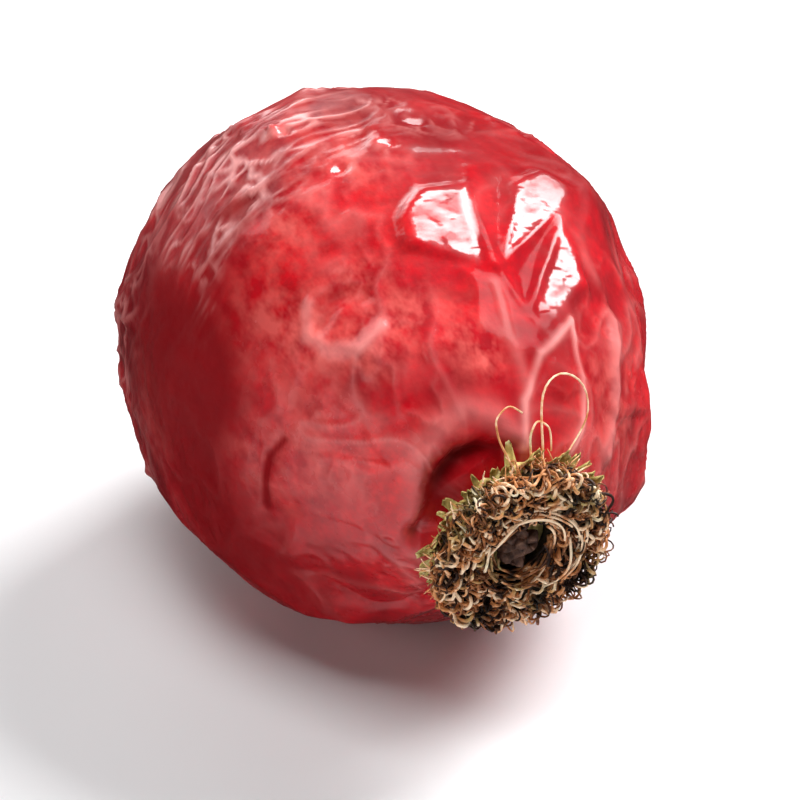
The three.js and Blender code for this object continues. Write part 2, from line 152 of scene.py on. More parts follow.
# %% Node helpers
class Finish:
    """A material with one Principled shader, and short words for the nodes that feed it."""

    def __init__(self, name):
        self.material = bpy.data.materials.new(name)
        self.material.use_nodes = True
        self.tree = self.material.node_tree
        self.shader = self.tree.nodes["Principled BSDF"]
        self.place = self.node("ShaderNodeTexCoord").outputs["Object"]

    def node(self, kind, **settings):
        made = self.tree.nodes.new(kind)
        for key, value in settings.items():
            setattr(made, key, value)
        return made

    def feed(self, socket, value):
        if isinstance(value, bpy.types.NodeSocket):
            self.tree.links.new(value, socket)
        else:
            socket.default_value = value

    def set(self, **values):
        for key, value in values.items():
            self.feed(self.shader.inputs[key.replace("_", " ")], value)

    def noise(self, size, detail=3.0, roughness=0.55, stretch=(1, 1, 1)):
        """Noise whose blots are size millimetres across, drawn out by stretch."""
        mapping = self.node("ShaderNodeMapping")
        self.feed(mapping.inputs["Vector"], self.place)
        mapping.inputs["Scale"].default_value = [1 / (size * MM * s) for s in stretch]
        made = self.node("ShaderNodeTexNoise")
        self.feed(made.inputs["Vector"], mapping.outputs["Vector"])
        made.inputs["Scale"].default_value = 1
        made.inputs["Detail"].default_value = detail
        made.inputs["Roughness"].default_value = roughness
        return made.outputs["Fac"]

    def attribute(self, name):
        return self.node("ShaderNodeAttribute", attribute_name=name).outputs["Fac"]

    def ramp(self, factor, *stops):
        """Colours along factor, from pairs of place and colour."""
        made = self.node("ShaderNodeValToRGB")
        self.feed(made.inputs["Fac"], factor)
        elements = made.color_ramp.elements
        while len(elements) < len(stops):
            elements.new(0.5)
        for element, (at, colour) in zip(elements, stops):
            element.position = at
            element.color = (*colour, 1)
        return made.outputs["Color"]

    def span(self, value, low, high, new_low=0.0, new_high=1.0):
        """value stretched from low..high to new_low..new_high, and held there."""
        made = self.node("ShaderNodeMapRange")
        for socket, v in zip(("Value", "From Min", "From Max", "To Min", "To Max"),
                             (value, low, high, new_low, new_high)):
            self.feed(made.inputs[socket], v)
        return made.outputs["Result"]

    def maths(self, operation, a, b):
        made = self.node("ShaderNodeMath", operation=operation)
        self.feed(made.inputs[0], a)
        self.feed(made.inputs[1], b)
        return made.outputs["Value"]

    def mix(self, factor, a, b):
        """a turned into b by factor, for two colours."""
        made = self.node("ShaderNodeMix", data_type="RGBA")
        self.feed(made.inputs["Factor"], factor)
        first_colour, second_colour, mixed_colour = 6, 7, 2
        self.feed(made.inputs[first_colour], (*a, 1) if isinstance(a, tuple) else a)
        self.feed(made.inputs[second_colour], (*b, 1) if isinstance(b, tuple) else b)
        return made.outputs[mixed_colour]

    def bump(self, height, depth, strength=1.0):
        """A bump whose full height is depth millimetres."""
        made = self.node("ShaderNodeBump")
        made.inputs["Strength"].default_value = strength
        made.inputs["Distance"].default_value = depth * MM
        self.feed(made.inputs["Height"], height)
        return made.outputs["Normal"]


print("finishes are Principled shaders fed by noise on object coordinates")

# %% [markdown]
# ## Repeatable irregularity
#
# A natural thing is irregular, but the script has to make the same hip on every run. So the chance
# comes from a fixed formula: draw gives the i-th number of a series, and noise gives a smooth value at
# a point of space. Each use has the number of its own series, k, so no two layers are alike. The packed
# model uses the same formulas and the same series, so both have the same dents.

# %% Draws and noise
def draw(i, k):
    """The i-th draw of series k, from 0 to 1."""
    value = np.sin(np.asarray(i) * 127.1 + k * 311.7) * 43758.5453
    return value - np.floor(value)


def corner(x, y, z, k):
    """The draw of one corner of the noise's grid, from 0 to 1."""
    value = np.sin(x * 127.1 + y * 311.7 + z * 74.7 + k * 53.3) * 43758.5453
    return value - np.floor(value)


def noise(p, size, k):
    """Smooth noise from -1 to 1 whose bumps are about size across."""
    p = p / size
    low = np.floor(p)
    ease = (p - low) ** 2 * (3 - 2 * (p - low))
    total = 0
    for n in range(8):
        step = np.array([n >> 2, (n >> 1) & 1, n & 1])
        total = total + np.where(step, ease, 1 - ease).prod(1) * corner(*(low + step).T, k)
    return total * 2 - 1


def bent(p, size, amount, k):
    """p pushed sideways by noise, so that what is straight round p comes out wavy."""
    return p + amount * np.stack([noise(p, size, k + n) for n in range(3)], 1)


def creases(p, size, k):
    """Noise whose zero lines stand up as thin ridges: 1 on a ridge, and nearly 0 between."""
    return (1 - np.abs(noise(p, size, k) + 0.5 * noise(p, size / 2.3, k + 1))) ** 4


def wrinkles(p, spacing, k):
    """Thin ridges round the fruit, spacing apart, that wander, meet and part again."""
    across = p[:, 0] / spacing + 1.1 * noise(p, 2.4 * spacing, k) + 0.3 * noise(p, spacing, k + 1)
    return (1 - np.abs(np.sin(np.pi * across))) ** 2.5


def eased(x, low, high):
    """0 below low, 1 above high, and a soft step between."""
    t = np.clip((x - low) / (high - low), 0, 1)
    return t * t * (3 - 2 * t)


def zone(p, centre, reach):
    """1 at the centre, falling softly to nothing past reach."""
    return np.exp(-((p - centre) ** 2).sum(1) / reach ** 2)


print("first draws", draw(range(3), 5).round(3))

# %% [markdown]
# ## The shrunken skin
#
# When a hip dries, the wall sinks in between the seeds, and the skin, too large for it now, gathers in
# shallow bowls and flat facets that meet in sharp ridges. That is what soap films and crumpled foil do
# too. Sculpting it by hand can't be repeated, and plain noise gives rolling hills with no ridges. So
# seeds are scattered over the fruit, each with a bowl round it, and at each place the lowest bowl
# counts: the ridges come out where two bowls meet. A lean tilts each bowl its own way, as facets are.

# %% Bowls that meet in ridges
def scatter(count, jitter, k):
    """count points over the fruit in a spiral, each knocked out of line by jitter steps."""
    i = np.arange(count)
    step = 2 / math.sqrt(count)
    along = np.clip(1 - 2 * (i + 0.5) / count + jitter * step * (draw(i, k) - 0.5), -0.99, 0.99)
    across = np.sqrt(1 - along ** 2)
    golden_turn = math.pi * (3 - math.sqrt(5))
    turn = i * golden_turn + 1.75 * jitter * step * (draw(i, k + 1) - 0.5) / across
    return about(MIDDLE + HALF_LENGTH * along, HALF_WIDTH * across, turn)


def bowls(p, points, weights, leans, stretch, crisp, blend):
    """The squared distance to the nearest point less its weight, and the height of its lean."""
    rise, slope = np.empty((2, len(p)))
    scale = np.array([stretch, 1, 1])
    batch = 6000
    for n in range(0, len(p), batch):
        offsets = p[n:n + batch, None] - points
        away = ((offsets * scale) ** 2).sum(2) - weights
        least = away.min(1, keepdims=True)
        rise[n:n + batch] = least[:, 0] - np.log(np.exp(-crisp * (away - least)).sum(1)) / crisp
        share = np.exp(-blend * (away - least))
        slope[n:n + batch] = ((offsets * leans).sum(2) * share).sum(1) / share.sum(1)
    return rise, slope


def any_leans(count, k, steepest):
    """count chance leans as rows of x, y and z, each up to steepest either way."""
    i = np.arange(count)
    return (np.stack([draw(i, k), draw(i, k + 1), draw(i, k + 2)], 1) - 0.5) * 2 * steepest


print("the first two of 120 seeds", scatter(120, 2.1, 11)[:2].round(2).tolist())

# %% [markdown]
# Some folds have a place of their own. The skin of the shoulder went flat in six facets, three of them
# glossy and three matt between and below them. A rolled lip hangs over a hollow beside the crown, and a
# few single creases cross the middle. A facet is a plane inside a ring of corners, so it needs those,
# its depth and the way it looks. A fold needs the places that it runs through, its width and its height.
#
# Which way a facet looks decides whether a lamp shows in it. So the glossy ones look halfway between
# the camera and the key lamp, as one tilts a mirror to throw the sun at somebody.

# %% Where the facets and the folds are
# Corners as x and angle, depth, the way it looks, and 1 if it is glossy.
SHOULDER_FACETS = [
    ([(2.9, -6), (1.9, 2), (1.8, 16), (4.7, 12), (3.8, -7)], -0.10, (0.329, 0.194, 0.924), 1),
    ([(1.8, 16), (0.9, 18), (0.8, 25), (1.6, 28), (4.8, 17), (4.7, 12)], -0.24, (0.27, 0.46, 0.845), 0),
    ([(1.6, 28), (1.0, 36), (1.5, 43), (2.4, 41), (3.6, 29), (4.8, 17)], 0.0, (0.352, 0.337, 0.874), 1),
    ([(4.8, 17), (3.6, 29), (2.4, 41), (3.0, 39), (4.8, 30), (6.0, 24), (5.5, 20)],
     -0.24, (0.436, 0.425, 0.793), 0),
    ([(3.0, 39), (3.7, 43), (4.7, 46), (5.4, 38), (6.2, 28), (6.0, 24), (4.8, 30)],
     -0.10, (0.45, 0.352, 0.821), 1),
    ([(4.7, 12), (4.8, 17), (5.5, 20), (6.0, 24), (6.9, 24), (7.0, 14), (6.2, 5), (4.8, 5)],
     -0.19, (0.50, 0.27, 0.823), 0),
]
# Places as x and angle, half width, height, and painted tint: above 0 painted highlight, below 0 painted
# shade.
FOLDS = [
    ([(8.75, -84), (8.5, -62), (8.15, -44), (7.85, -28), (7.8, -14), (8.15, 0), (8.5, 8)],
     0.36, 0.12, 0.35),
    ([(8.8, -82), (8.78, -60), (8.7, -42), (8.6, -26), (8.65, -12), (8.8, 0)], 0.36, -0.75, -0.35),
    ([(4.5, -37), (4.3, -31), (4.5, -25)], 0.34, -0.15, -0.3),
    ([(4.0, -37), (4.6, -42), (5.2, -40), (5.6, -33), (5.5, -25)], 0.20, 0.09, 0.6),
    ([(5.45, -70), (5.2, -79), (5.2, -87), (5.2, -95)], 0.13, -0.06, -0.9),
    ([(5.3, 13), (6.5, 14), (7.6, 18), (8.7, 15)], 0.22, 0.05, 0.3),
    ([(5.9, 40), (6.9, 26), (7.9, 16), (8.7, 14)], 0.11, 0.05, 0.9),
    ([(5.9, 40), (6.9, 47), (8.0, 51), (8.7, 50)], 0.11, 0.05, 0.9),
    ([(4.9, 60), (6.4, 70), (7.8, 79)], 0.30, 0.16, 0.5),
]
print(len(SHOULDER_FACETS), "facets and", len(FOLDS), "folds")

# %% Cut the facets
# How far a facet's plane may be off the plain outline, and how far below its middle its area ends.
LOWEST, HIGHEST, DEEPEST = -0.65, 0.4, -3
OUT_OF_REACH = 9


def outward_at(p):
    """The direction that the skin is moved along at p: straight out of the fruit's egg."""
    d = (p - [MIDDLE, 0, 0]) / np.array([HALF_LENGTH, HALF_WIDTH, HALF_WIDTH]) ** 2
    return d / np.linalg.norm(d, axis=-1, keepdims=True)


def facet_relief(p, ground, crisp, facets, levels=None):
    """ground, with the facets cut into it, or with the levels given in place of their planes."""
    heights, away = [ground], [np.zeros(len(p))]
    wavy = bent(p, 0.9, 0.10, 81)
    out = outward_at(p)
    for n, (corners, depth, looks, _) in enumerate(facets):
        ring = np.array([place(x, angle) for x, angle in corners])
        centre = ring.mean(0)
        up = outward_at(centre)
        on_plane = centre + depth * up
        looks = np.array(looks)
        plane = np.clip(((on_plane - p) @ looks) / np.maximum(out @ looks, 0.2), LOWEST, HIGHEST)
        heights.append(plane if levels is None else np.full(len(p), levels[n]))
        inward = [np.cross(up, b - a) for a, b in zip(ring, np.roll(ring, -1, 0))]
        inward = [v / np.linalg.norm(v) * np.sign((centre - a) @ v) for a, v in zip(ring, inward)]
        past = np.max([(a - wavy) @ v for a, v in zip(ring, inward)], axis=0)
        on_far_side = (wavy - centre) @ up < DEEPEST
        away.append(past + OUT_OF_REACH * on_far_side)
    share = np.exp(-crisp * (np.array(away) - np.min(away, axis=0)))
    return (share * np.array(heights)).sum(0) / share.sum(0)


print("the skin at the shoulder looks along", outward_at(place(3.9, 18)).round(2))

# %% Lay the folds
def fold_relief(p):
    """The height of the folds that have their own lines, and their painted tint: pale for painted highlight,
    dark for painted shade.
    """
    height, pale = np.zeros((2, len(p)))
    wavy = bent(p, 1.1, 0.12, 85)
    for places, half_width, depth, tint in FOLDS:
        line = np.array([place(x, angle) for x, angle in places])
        nearest = np.full(len(p), np.inf)
        for a, b in zip(line, line[1:]):
            t = np.clip((wavy - a) @ (b - a) / ((b - a) @ (b - a)), 0, 1)
            nearest = np.minimum(nearest, ((wavy - a - t[:, None] * (b - a)) ** 2).sum(1))
        share = np.exp(-nearest / half_width ** 2)
        height += depth * share
        pale += tint * share
    return height, pale


print("the lip stands", fold_relief(place(7.85, -28)[None])[0].round(2), "mm high")

# %% [markdown]
# The relief is a sum of layers, from broad to fine: slow swells, large slumps between the seeds, the
# net of bowls, and puckers where the skin gathers towards each end. Some areas stayed calmer than the
# rest, most of all the belly, which stayed plump and nearly smooth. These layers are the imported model's
# own, so the skin has the same dents as its solid.

# %% The relief of the skin
BELLY, SHOULDER, NECK = place(3.0, -62), place(3.9, 18), place(6.5, 20)
FACET_CRISP = 12
# Areas that stayed calmer than elsewhere: centre, reach, and by what share.
CALM = {"belly": (BELLY, 6.0, 0.93), "shoulder": (SHOULDER, 3.5, 0.85), "neck": (NECK, 3.0, 0.85),
        "calyx top": (place(6.5, 0), 5.0, 0.9), "calyx side": (place(6.8, -88), 2.2, 0.9),
        "underside": (place(0, 180), 3.4, 0.85)}
# The layers. A layer of bowls is measured from its level, so that it sinks as much as it swells.
SWELLS = {"size": 6.5, "height": 0.22}
SLUMPING = {"seeds": 26, "bend": 5.0, "height": 0.03, "level": 5.5, "on_belly": 0.25}
NETTING = {"seeds": 120, "steepest": 0.125, "height": 0.6, "bowl": 0.07, "level": 1.5, "patches": 2.8}
CALYX_PUCKERS = {"depth": 0.30, "count": 9, "start": 0.6, "wander": 1.6, "size": 2.4, "k": 51}
STALK_PUCKERS = {"depth": 0.45, "count": 7, "start": 0, "wander": 1.7, "size": 2.0, "k": 61}


def left_by(p, *areas):
    """The share of the roughness that is left at p by the calmest of the areas."""
    return 1 - np.max([CALM[name][2] * zone(p, *CALM[name][:2]) for name in areas], axis=0)


def puckers(p, depth, count, start, wander, size, k):
    """How deep the puckers are at p: count sharp valleys round the fruit."""
    turn = np.arctan2(p[:, 1], p[:, 2])
    return depth * (1 - np.sqrt(np.abs(np.sin(turn * count / 2 + wander * noise(p, size, k) + start))))


def relief(p):
    """How far the shrunken skin stands out from the plain outline at p, in millimetres."""
    height = SWELLS["height"] * noise(p, SWELLS["size"], 41)

    rough = left_by(p, "belly")
    count = SLUMPING["seeds"]
    seeds, wavy = scatter(count, 1.9, 5), bent(p, SLUMPING["bend"], 1.0, 3)
    slump, _ = bowls(wavy, seeds, 3.5 * draw(np.arange(count), 9), 0 * seeds, 0.85, 1.6, 1)
    slumped = SLUMPING["on_belly"] + (1 - SLUMPING["on_belly"]) * rough
    height += slumped * SLUMPING["height"] * (slump - SLUMPING["level"])

    count = NETTING["seeds"]
    seeds, wavy = scatter(count, 2.1, 11), bent(bent(p, 3.4, 0.75, 13), 1.3, 0.16, 17)
    weights, leans = draw(np.arange(count), 67) - 0.3, any_leans(count, 71, NETTING["steepest"])
    rise, slope = bowls(wavy, seeds, weights, leans, 0.8, 16, 3)
    patchy = np.clip(0.75 + 0.9 * noise(p, NETTING["patches"], 91), 0.1, 1.15)
    net = NETTING["bowl"] * (rise - NETTING["level"]) + slope
    height += NETTING["height"] * rough * patchy * left_by(p, "shoulder", "neck") * net

    near_calyx = eased(p[:, 0], 4.2, 7.8) * np.clip(0.6 + 0.6 * noise(p, 2.5, 57), 0, 1)
    height -= near_calyx * left_by(p, "calyx top", "calyx side") * puckers(p, **CALYX_PUCKERS)
    height -= eased(-p[:, 0], 4.7, 8.0) * puckers(p, **STALK_PUCKERS)

    height = facet_relief(p, height, FACET_CRISP, SHOULDER_FACETS)
    height *= eased(CALYX_HALF["end"] - p[:, 0], 0, 0.9) * eased(p[:, 0] - STALK_HALF["end"], 0, 0.8)
    height += fold_relief(p)[0] * eased(CALYX_HALF["end"] - p[:, 0], -0.45, 0.35)
    return height * left_by(p, "underside")


apart = (4 * math.pi * HALF_WIDTH ** 2 / NETTING["seeds"]) ** 0.5
print("the net's seeds are about", round(apart, 1), "mm apart")
print("relief at the belly's middle", relief(BELLY[None]).round(3), "mm")

# %% [markdown]
# A fine crumple lies on top, over the half towards the stalk, where the skin dried thinnest. Noise makes
# knobs there, but a real crumple has a direction: thin ridges run round the fruit, wander, meet and part
# again, and fine creases cross them. Their crests are pale, partly rubbed and partly a painted highlight,
# and not all along, so the paleness comes and goes. Last come a few glints: facets so small that each
# shows the key lamp as one white spot. They look halfway between the camera and that lamp, too.

# %% The fine crumple
FINE_RIDGES = {"coarse": 0.15, "thin": 0.10, "cross": 0.10, "sunk": 0.08}


def crumple_zone(p):
    """1 where the skin is finely crumpled: over the stalk's half, but for smooth patches."""
    behind = 1.3 - p[:, 0] + 1.6 * noise(p, 3.0, 97) - 3.0 * zone(p, place(-0.5, 62), 3.0)
    return eased(behind, 0, 1.8) * np.clip(0.75 + 0.5 * noise(p, 2.2, 98), 0.2, 1)


def on_facets(p, glossy):
    """1 on the shoulder's facets that are glossy, or on those that are not, and 0 off them."""
    levels = [float(gloss == glossy) for *_, gloss in SHOULDER_FACETS]
    return facet_relief(p, np.zeros(len(p)), 9, SHOULDER_FACETS, levels)


def crumple_relief(p, crumple):
    """The height of the fine crumple at p, and how pale its crests are."""
    q = bent(bent(p, 2.2, 0.6, 23), 0.9, 0.15, 27)
    askew = q + np.outer(0.45 * q[:, 1] - 0.35 * q[:, 2], [1, 0, 0])
    coarse, thin, cross = wrinkles(q, 1.2, 101), wrinkles(askew, 0.85, 105), creases(q, 0.9, 117)
    patchy = np.clip(0.65 + 1.1 * noise(p, 1.5, 93), 0, 1.2)
    ridges = FINE_RIDGES["coarse"] * coarse + FINE_RIDGES["thin"] * thin + FINE_RIDGES["cross"] * cross
    crests = np.clip(2.2 * np.maximum(np.maximum(coarse, thin), 0.9 * cross) - 0.75, 0, 1)
    broken = np.clip(0.65 + 1.3 * noise(p, 0.6, 119), 0.1, 1)
    # where the crests are palest: partly wear, partly painted highlight
    rubbed_and_lit = 0.45 + 0.55 * zone(p, place(-1.5, -35), 5.0)
    pale = rubbed_and_lit * np.clip(2.4 * crumple * patchy, 0, 1) * broken * crests
    return crumple * patchy * (ridges - FINE_RIDGES["sunk"]), pale


print("the crumple at x = -4 is", crumple_relief(place(-4, 0)[None], 1)[0].round(3), "mm high")

# %% All that is too small for the solid
def fine_relief(p):
    """The height of all that is too small for the solid, and how pale its crests are."""
    flat = on_facets(p, 1)
    crumple = crumple_zone(p) * (1 - flat - on_facets(p, 0)) * (1 - 0.85 * zone(p, place(0.6, -82), 3.6))
    height, pale = np.zeros((2, len(p)))
    where = crumple > 0.01
    height[where], pale[where] = crumple_relief(p[where], crumple[where])

    q = bent(bent(p, 3.0, 0.9, 33), 1.0, 0.25, 36)
    patchy = np.clip(0.6 + 1.1 * noise(p, 2.2, 95), 0, 1) * (1 - flat) * (1 - crumple)
    patchy *= 1 - 0.7 * zone(p, BELLY, 4.0)
    patchy *= 1 - 0.8 * np.maximum(zone(p, SHOULDER, 3.2), zone(p, NECK, 2.6))
    line = np.maximum(creases(q, 1.7, 109), 0.7 * creases(q, 0.8, 121))
    height += patchy * (0.09 * line - 0.02)
    # pale crease lines, partly painted highlight, and the folds' pale painted tint
    pale += 0.36 * patchy * line ** 2 + np.clip(fold_relief(p)[1], 0, 1)

    height += 0.003 * noise(p, 0.45, 83)
    ripple = 0.010 * noise(p * [1, 0.35, 1], 0.3, 84) + 0.02 * creases(bent(p, 0.8, 0.2, 87), 1.3, 113)
    return height + flat * ripple, np.clip(pale, 0, 1)


print("fine relief at the belly's middle", fine_relief(BELLY[None])[0].round(3), "mm")

# %% The glints
GLINT_SUNK, GLINT_LOOKS = 0.08, (0.381, 0.280, 0.881)
# Place, length, width and slant.
GLINTS = [(-1.9, -19, 0.6, 0.32, 36), (-0.2, 1, 0.7, 0.34, 61), (0.4, -13, 0.65, 0.34, 110),
          (-1.4, 12, 0.7, 0.34, 82)]


def glint_facet(x, angle, length, width, slant):
    """A small glossy facet round a place, its length slant degrees off the long axis."""
    ring = []
    c, s = math.cos(math.radians(slant)), math.sin(math.radians(slant))
    for turn in np.radians(range(0, 360, 60)):
        along, across = length / 2 * math.cos(turn), width / 2 * math.sin(turn)
        round_fruit = (s * along + c * across) / float(outline(x))
        ring.append((x + c * along - s * across, angle + math.degrees(round_fruit)))
    return ring, relief(place(x, angle)[None])[0] - GLINT_SUNK, GLINT_LOOKS, 1


glint_facets = [glint_facet(*row) for row in GLINTS]
print(len(glint_facets), "glints, sunk to", [round(float(depth), 2) for _, depth, *_ in glint_facets], "mm")

# %% [markdown]
# ## Finished pieces
#
# Every piece ends the same way: its doubled corners are merged, its faces point outwards, its mesh is
# lifted to its height and brought to metres, and it rides on the fruit's one body, most often in place
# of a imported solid. A spin, a torn strip or a curve may come out with faces that point inwards, which
# would look right here and wrong in another program.

# %% Finished pieces
def finished(name, mesh, material, node=None):
    """Makes an object of a mesh in millimetres round the long axis, in its place in the frame."""
    mesh.name = name
    mesh.transform(Matrix.Diagonal((MM, MM, MM, 1)) @ Matrix.Translation((0, 0, AXIS_HEIGHT)))
    mesh.shade_smooth()
    mesh.materials.clear()
    mesh.materials.append(material)
    piece = linked(name, mesh)
    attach(piece, "root")
    if node:
        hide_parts(node)
    triangles = sum(len(face.vertices) - 2 for face in mesh.polygons)
    print(name, triangles, "triangles")


print("each finished piece rides on root")

# %% Meshes and their corners
SAME_PLACE = 1e-4


def meshed(bm, name):
    """A mesh of the bmesh, with doubled corners merged and its faces outwards."""
    bmesh.ops.remove_doubles(bm, verts=bm.verts, dist=SAME_PLACE)
    bmesh.ops.recalc_face_normals(bm, faces=bm.faces)
    print(name, "has", sum(not e.is_manifold for e in bm.edges), "open edges")
    mesh = bpy.data.meshes.new(name)
    bm.to_mesh(mesh)
    bm.free()
    return mesh


def corners_of(mesh):
    """A mesh's corners as rows of x, y, z."""
    flat = np.empty(3 * len(mesh.vertices))
    mesh.vertices.foreach_get("co", flat)
    return flat.reshape(-1, 3)


def put_corners(mesh, p):
    """Moves a mesh's corners to the rows of p."""
    mesh.vertices.foreach_set("co", p.ravel())
    mesh.update()


def put_attribute(mesh, name, values):
    """Stores one value for each corner, which the finish reads by name."""
    made = mesh.attributes.new(name, "FLOAT", "POINT")
    made.data.foreach_set("value", np.asarray(values, np.float32))


def turned(section, steps):
    """A round body about X, spun from its half section of x and radius."""
    bm = bmesh.new()
    corners = [bm.verts.new((x, 0, r)) for x, r in section]
    edges = [bm.edges.new(pair) for pair in zip(corners, corners[1:])]
    bmesh.ops.spin(bm, geom=corners + edges, cent=(0, 0, 0), axis=(1, 0, 0),
                   angle=2 * math.pi, steps=steps, use_merge=True)
    return bm


print("corners closer than", SAME_PLACE, "mm are merged")

# %% [markdown]
# ## The fruit's skin
#
# The skin is spun from its half section, as a potter turns a pot, and then every corner is moved along
# the fruit's own outward direction by the relief. The steps are about a tenth of a millimetre, which
# is what the finest creases need. A spin of so many steps takes some ten seconds. With a quarter of the
# steps, and the edges that run round the fruit cut in four afterwards, it takes one. Last, the calyx end
# leans with the crown, and what would be under the table is pressed flat on it.

# %% Spin the plain skin
ROWS, SIDES, PARTS = 262, 92, 4
OFF_AXIS = 1e-3
first = math.asin(STALK_HALF["end"] / STALK_HALF["reach"])
last = math.asin(CALYX_HALF["end"] / CALYX_HALF["reach"])
sweep = np.linspace(first, last, ROWS)
along = np.where(sweep < 0, STALK_HALF["reach"], CALYX_HALF["reach"]) * np.sin(sweep)
section = [(along[0], 0), *zip(along, outline(along)), (along[-1], 0)]
bm = turned(section, SIDES)
bmesh.ops.remove_doubles(bm, verts=bm.verts, dist=SAME_PLACE)
round_edges = [e for e in bm.edges if abs(e.verts[0].co.x - e.verts[1].co.x) < SAME_PLACE / 10
               and min(Vector(v.co.yz).length for v in e.verts) > OFF_AXIS]
bmesh.ops.subdivide_edges(bm, edges=round_edges, cuts=PARTS - 1, use_grid_fill=True)
skin_mesh = meshed(bm, "skin")

plain = corners_of(skin_mesh)
from_axis = np.linalg.norm(plain[:, 1:], axis=1)
on_wall = from_axis > OFF_AXIS
plain[on_wall, 1:] *= (outline(plain[on_wall, 0]) / from_axis[on_wall])[:, None]
print(len(plain), "corners of skin")

# %% Shrink it
LEAN_START = 4.6
GLINT_CRISP = 25
broad = relief(plain)
fine, pale = fine_relief(plain)
height = facet_relief(plain, broad + fine, GLINT_CRISP, glint_facets)
on_glints = facet_relief(plain, 0 * fine, GLINT_CRISP, glint_facets, [1.0] * len(glint_facets))
shrunk = plain + outward_at(plain) * height[:, None]
shrunk = leaned(shrunk, eased(shrunk[:, 0], LEAN_START, CALYX_HALF["end"]))
shrunk[:, 2] = np.maximum(shrunk[:, 2], -AXIS_HEIGHT)
put_corners(skin_mesh, shrunk)
print("the skin stands from", broad.min().round(2), "to", broad.max().round(2), "mm")

# %% [markdown]
# The skin isn't the same all over. A pale bloom clouds the middle, partly the skin's own dusty bloom and
# partly a painted sheen. Painted shade darkens the flanks, the hollow and the creases, the shoulder is
# glossy with matt bands, and the crests of the crumple are pale, partly rubbed and partly a painted
# highlight. That follows the fruit and not a pattern, so each of these is stored in the mesh as an
# attribute: one value for each corner, mostly from 0 to 1. The finish reads them by name. "flat" is where
# the glossy facets are, and "keen" is where the film over the skin mirrors sharply.

# %% Where the skin is pale, dark, matt and sharply glossy
# x, angle, reach and strength of each soft spot.
# Pale spots: the skin's own dusty bloom, and painted sheen on the belly and along the left edge.
BLOOM_AND_PAINTED_SHEEN = [(4.9, -42, 0.7, 1.0), (5.7, -33, 0.8, 1.0), (4.0, -40, 0.6, 0.8), (5.7, -23, 0.7, 0.8),
         (3.2, -50, 1.3, 0.9), (6.4, -2, 0.9, 1.0), (7.0, 3, 0.6, 1.0), (6.3, -64, 2.2, 0.6),
         (5.6, -84, 1.8, 0.5), (4.0, -84, 0.9, 0.9), (7.2, 75, 1.8, 0.7), (-1.5, -20, 4.0, 0.5),
         (4.2, -22, 0.8, 1.0), (5.5, -14, 0.7, 0.9), (1.6, -31, 0.9, 0.9), (0.4, -8, 0.8, 0.9),
         (-0.3, -85, 0.7, 1.6), (0.6, -95, 0.8, 1.6), (8.2, -30, 0.8, 0.7), (4.2, -36, 2.6, 0.35),
         (6.8, 66, 1.6, 0.7)]
# Dark spots of painted shade: on the flanks, the underside, the top, the right and beside the crown.
SHADE = [(0.0, -78, 3.0, 1.0), (2.2, -72, 2.4, 1.0), (5.0, -125, 3.5, 0.8), (2.8, -108, 2.0, 0.7),
         (7.4, 33, 1.2, 0.6), (8.75, -50, 0.9, 0.7), (8.8, -22, 0.6, 0.6), (-1.2, 18, 2.8, 0.6),
         (0.4, 42, 2.2, 0.7), (7.0, 72, 1.8, 0.5)]
MATT = [(7.8, -6, 1.4, 1.0), (6.5, 25, 1.1, 1.0)]
KEEN = [(3.9, 18, 4.6, 1.3), (-2.0, -20, 5.0, 0.9)]


def spots(p, rows):
    """The sum of soft spots at p, from rows of x, angle, reach and strength."""
    return sum(strength * zone(p, place(x, angle), reach) for x, angle, reach, strength in rows)


print(len(BLOOM_AND_PAINTED_SHEEN), "pale spots and", len(SHADE), "dark ones")

# %% Store it in the skin
on_glossy, tint = on_facets(plain, 1), fold_relief(plain)[1]
flat = np.maximum(on_glossy, on_glints)
half_matt = 0.6 * np.maximum(zone(plain, SHOULDER, 3.3), zone(plain, place(5.4, -2), 2.0))
stored = {
    "flat": flat,
    "crumple": crumple_zone(plain) * (1 - flat),
    "ridge": pale,
    # pale bloom: partly the skin's own dusty bloom, partly a painted sheen
    "bloom_and_painted_sheen": spots(plain, BLOOM_AND_PAINTED_SHEEN),
    # painted shade: the folds' dark tints and the dark spots
    "shade": np.clip(-tint, 0, 2) + spots(plain, SHADE),
    # painted shade: darker where the relief sinks, in creases and dents
    "hollow": np.clip(0.5 - 2.2 * fine - 0.25 * broad, 0, 1),
    "matt": (on_facets(plain, 0) + np.clip(np.abs(tint), 0, 1) + spots(plain, MATT)
             + half_matt * (1 - on_glossy)),
    "keen": spots(plain, KEEN),
}
for name, values in stored.items():
    put_attribute(skin_mesh, name, values)
print("attributes", {name: round(float(values.mean()), 2) for name, values in stored.items()})

# %% [markdown]
# The skin's colour is a deep crimson. Painted shade makes it maroon in the hollows and in the gaps of
# the crumple, and its crests are a dusty pink, partly wear and partly a painted highlight. It is laid on
# one thin layer over another, each with a tint and a share that says where it shows.
#
# Two layers shine. On top is a thin film, like varnish, that mirrors the lamps: the Principled shader's
# coat. It is sharp on the shoulder and softer on the belly, it is worn off in streaks on the flat
# facets, and little of it is left where the skin is matt or dark and between the fine ridges. Under it
# the skin itself has only a soft haze.

# %% Colour and film of the skin
MOST_WORN = 0.75


